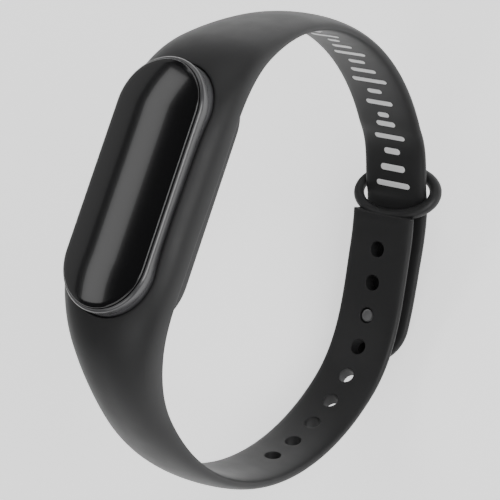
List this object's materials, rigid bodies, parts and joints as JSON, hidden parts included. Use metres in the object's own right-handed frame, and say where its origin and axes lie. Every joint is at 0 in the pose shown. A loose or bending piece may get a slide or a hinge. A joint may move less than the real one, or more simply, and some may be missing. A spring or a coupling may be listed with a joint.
{
  "type": "fitness tracker band",
  "caption": "Wrist tracker: a sealed pill-shaped tracker with a dark glossy window, held in a silicone strap closed by a stud through a row of holes and an oval keeper.",
  "frame": {"origin": "the middle of the wrist opening, where the wearer's wrist passes through", "axes": "X runs along the wrist; +Z is the way the display faces; +Y is toward the strap arm that carries the stud"},
  "size_m": [0.0224, 0.0814, 0.0849],
  "materials": {
    "strap_silicone": "fine matte silicone with a soft sheen",
    "stud_metal": "satin anodised cap and pin",
    "shell_plastic": "satin moulded plastic",
    "bezel_plastic": "polished black plastic",
    "display_glass": "polished black window",
    "seal_rubber": "plain rubber",
    "film": "thin printed film",
    "carrier_plastic": "moulded plastic",
    "circuit_board": "solder-masked laminate",
    "panel_glass": "dark panel",
    "flex_film": "amber polyimide film",
    "connector_plastic": "moulded plastic",
    "chip_black": "moulded epoxy",
    "chip_ceramic": "fired ceramic",
    "metal_can": "bright drawn can",
    "cell_foil": "laminated foil pouch",
    "foam": "open-cell foam",
    "shaft_steel": "ground pin",
    "weight_metal": "sintered tungsten",
    "sensor_plastic": "smoked clear plastic",
    "led_body": "clear encapsulated diode",
    "photodiode_black": "dark detector",
    "baffle_foam": "black moulded wall",
    "contact_gold": "gold plated"
  },
  "bodies": {
    "frame": {"strap_frame": "strap_silicone", "stud_arm_upper": "strap_silicone", "stud_arm_lower": "strap_silicone", "hole_arm_upper": "strap_silicone", "hole_arm_lower": "strap_silicone", "keeper_loop": "strap_silicone"},
    "capsule": {"rear_shell": "shell_plastic", "shell_seal": "seal_rubber", "bezel_frame": "bezel_plastic", "window_gasket": "seal_rubber", "display_window": "display_glass", "touch_electrode": "film", "inner_chassis": "carrier_plastic", "main_board": "circuit_board", "oled_panel": "panel_glass", "display_flex": "flex_film", "flex_connector": "connector_plastic", "bluetooth_chip": "chip_black", "memory_chip": "chip_black", "motion_sensor": "chip_black", "charger_chip": "chip_black", "clock_crystal": "metal_can", "chip_antenna": "chip_ceramic", "board_passives": "chip_ceramic", "battery_cell": "cell_foil", "battery_protection_board": "circuit_board", "battery_foam": "foam", "motor_can": "metal_can", "motor_base": "metal_can", "motor_shaft": "shaft_steel", "heart_rate_window": "sensor_plastic", "heart_rate_board": "circuit_board", "green_leds": "led_body", "photodiode": "photodiode_black", "light_baffle": "baffle_foam", "charging_contacts": "contact_gold", "contact_seals": "seal_rubber", "contact_springs": "contact_gold"},
    "rotor": {"motor_rotor": "carrier_plastic", "motor_weight": "weight_metal"},
    "tail": {"strap_tail": "strap_silicone", "clasp_stud": "stud_metal"}
  },
  "joints": [
    {"name": "capsule_eject", "type": "slide", "parent": "frame", "child": "capsule", "axis": [0, 0, 1], "range_m": [0, 0.014]},
    {"name": "rotor_spin", "type": "hinge", "parent": "capsule", "child": "rotor", "pos_m": [0, 0.0124, 0.034], "axis": [0, 0, 1], "continuous": true},
    {"name": "tail_peel", "type": "hinge", "parent": "frame", "child": "tail", "pos_m": [0, 0.02438, -0.03226], "axis": [1, 0, 0], "range_deg": [0, 14], "stiffness_Nm_per_rad": 0.01}
  ]
}
